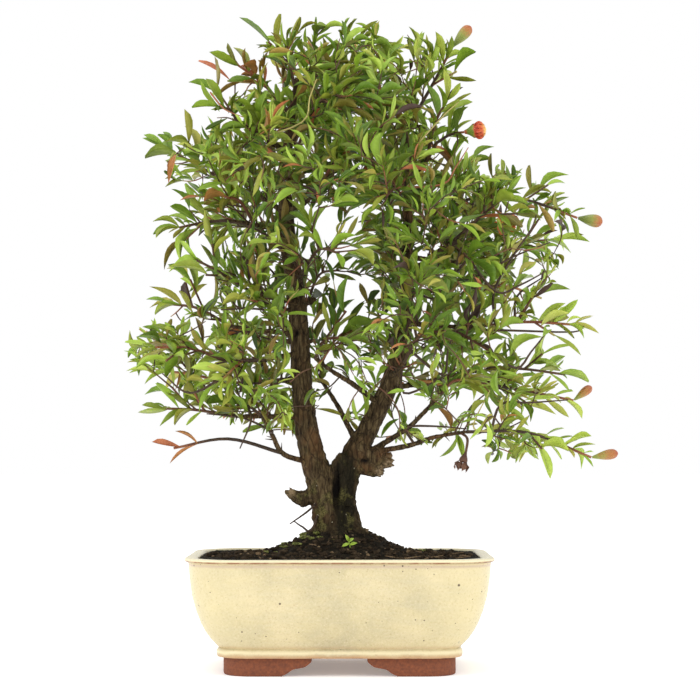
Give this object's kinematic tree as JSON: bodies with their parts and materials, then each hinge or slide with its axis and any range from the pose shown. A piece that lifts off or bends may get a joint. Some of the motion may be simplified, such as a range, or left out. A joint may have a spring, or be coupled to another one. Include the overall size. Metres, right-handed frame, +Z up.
{
  "type": "pomegranate bonsai in a pot",
  "caption": "Twin-trunk pomegranate bonsai with small leaves and orange flower buds, in a shallow rounded-rectangle glazed pot on low corner feet.",
  "frame": {"origin": "on the ground, under the middle of the whole outline", "axes": "+Z up, +X to the right seen from the front, +Y away from the front"},
  "size_m": [0.3474, 0.2332, 0.4696],
  "materials": {
    "glazed_clay": "satin",
    "screen_mesh": "matte",
    "potting_soil": "matte",
    "bark": "matte",
    "leaf": "satin",
    "young_leaf": "satin",
    "bud": "satin",
    "petal": "satin",
    "withered_petal": "matte"
  },
  "bodies": {
    "root": {"pot": "glazed_clay", "drain_screen_left": "screen_mesh", "drain_screen_right": "screen_mesh", "soil": "potting_soil", "trunk": "bark", "spray_low_left_a": "young_leaf", "spray_low_left_b": "leaf", "spray_shelf_left": "leaf", "spray_back_left": "leaf", "spray_front_left_a": "leaf", "spray_front_left_b": "leaf", "spray_mid_left": "leaf", "spray_upper_front_left_a": "leaf", "spray_upper_front_left_b": "leaf", "spray_high_left_a": "leaf", "spray_high_left_b": "leaf", "spray_crown_back_left_a": "leaf", "spray_crown_back_left_b": "leaf", "spray_crown_inner": "leaf", "spray_crown_front_left_a": "leaf", "spray_crown_front_left_b": "leaf", "spray_left_trunk_a": "leaf", "spray_left_trunk_b": "young_leaf", "spray_crown_back_a": "leaf", "spray_crown_back_b": "leaf", "spray_rear_middle": "leaf", "spray_rear_high_left": "leaf", "spray_front_middle": "leaf", "spray_crown_rear": "leaf", "spray_crown_front": "leaf", "spray_rear_low_left": "leaf", "spray_fork_inner": "leaf", "spray_fork_cross": "leaf", "spray_low_right": "leaf", "spray_bud_right": "leaf", "bud_lowest": "bud", "spray_shelf_right_a": "leaf", "spray_shelf_right_b": "leaf", "bud_low_right": "bud", "spray_rear_right": "leaf", "spray_mid_right_a": "leaf", "spray_mid_right_b": "leaf", "spray_back_right": "leaf", "spray_high_right_a": "leaf", "spray_high_right_b": "leaf", "spray_high_back_right": "leaf", "spray_crown_right_a": "leaf", "bud_right_end": "bud", "spray_crown_right_b": "leaf", "spray_crown_front_right_a": "leaf", "bud_crown": "bud", "spray_crown_front_right_b": "leaf", "spray_right_trunk_a": "leaf", "bud_top": "bud", "spray_right_trunk_b": "leaf", "spray_rear_high": "leaf", "spray_front_high": "leaf", "spray_front_low_right": "leaf", "flower_hidden": "petal", "flower_withered": "withered_petal"}
  },
  "joints": []
}
